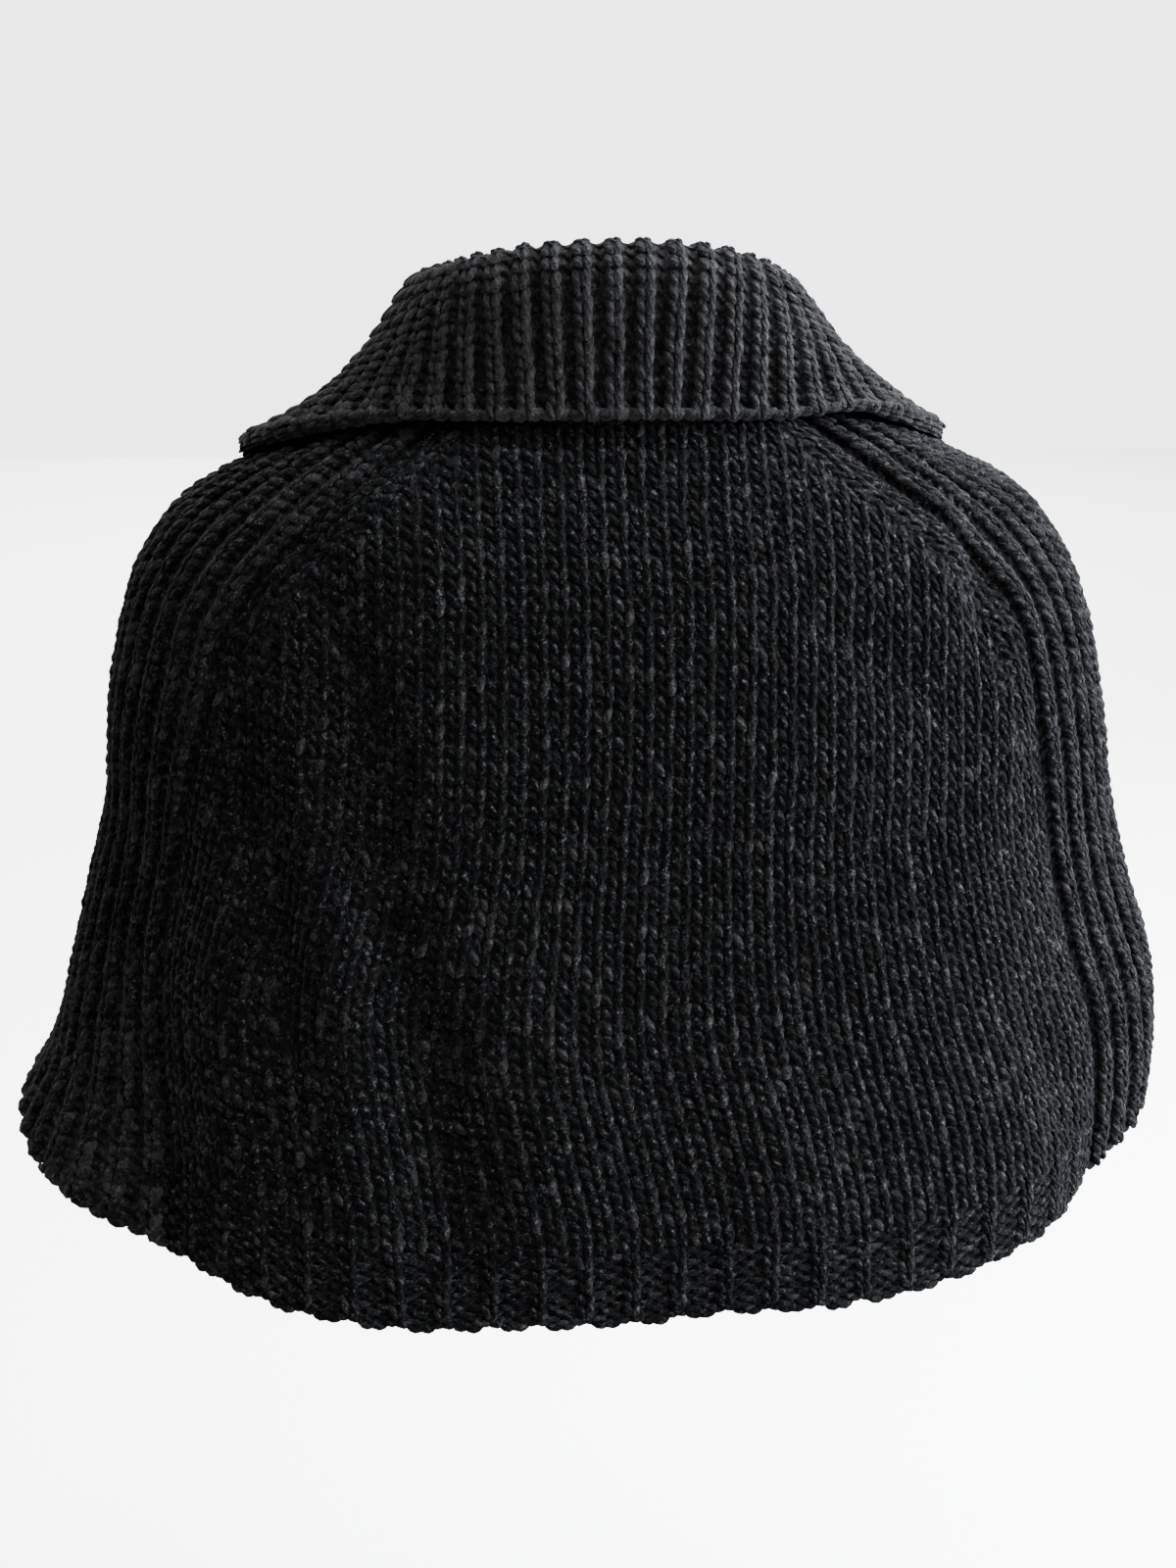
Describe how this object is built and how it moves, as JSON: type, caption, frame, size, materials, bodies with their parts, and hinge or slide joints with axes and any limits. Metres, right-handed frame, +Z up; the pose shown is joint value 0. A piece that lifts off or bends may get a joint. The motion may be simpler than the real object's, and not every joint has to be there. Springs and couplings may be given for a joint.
{
  "type": "knitted poncho",
  "caption": "Short chunky knit pullover poncho with ribbed shoulder panels, a ribbed hem and a wide folded rib collar, worn open and hollow.",
  "frame": {"origin": "middle of the neck, level with the upper ends of the shoulder panels, where the wearer's neck and shoulders hold the garment", "axes": "+Z up, -Y the wearer's front, +X the wearer's left"},
  "size_m": [0.5571, 0.3759, 0.4753],
  "materials": {
    "back_panel": "matt chunky wool knit, near-black charcoal melange",
    "front_panel": "matt chunky wool knit, near-black charcoal melange",
    "shoulder_left": "matt chunky wool knit, near-black charcoal melange",
    "shoulder_right": "matt chunky wool knit, near-black charcoal melange",
    "collar": "matt chunky wool knit, near-black charcoal melange"
  },
  "bodies": {
    "root": {"back_panel": "back_panel", "front_panel": "front_panel", "shoulder_left": "shoulder_left", "shoulder_right": "shoulder_right", "collar": "collar"}
  },
  "joints": []
}
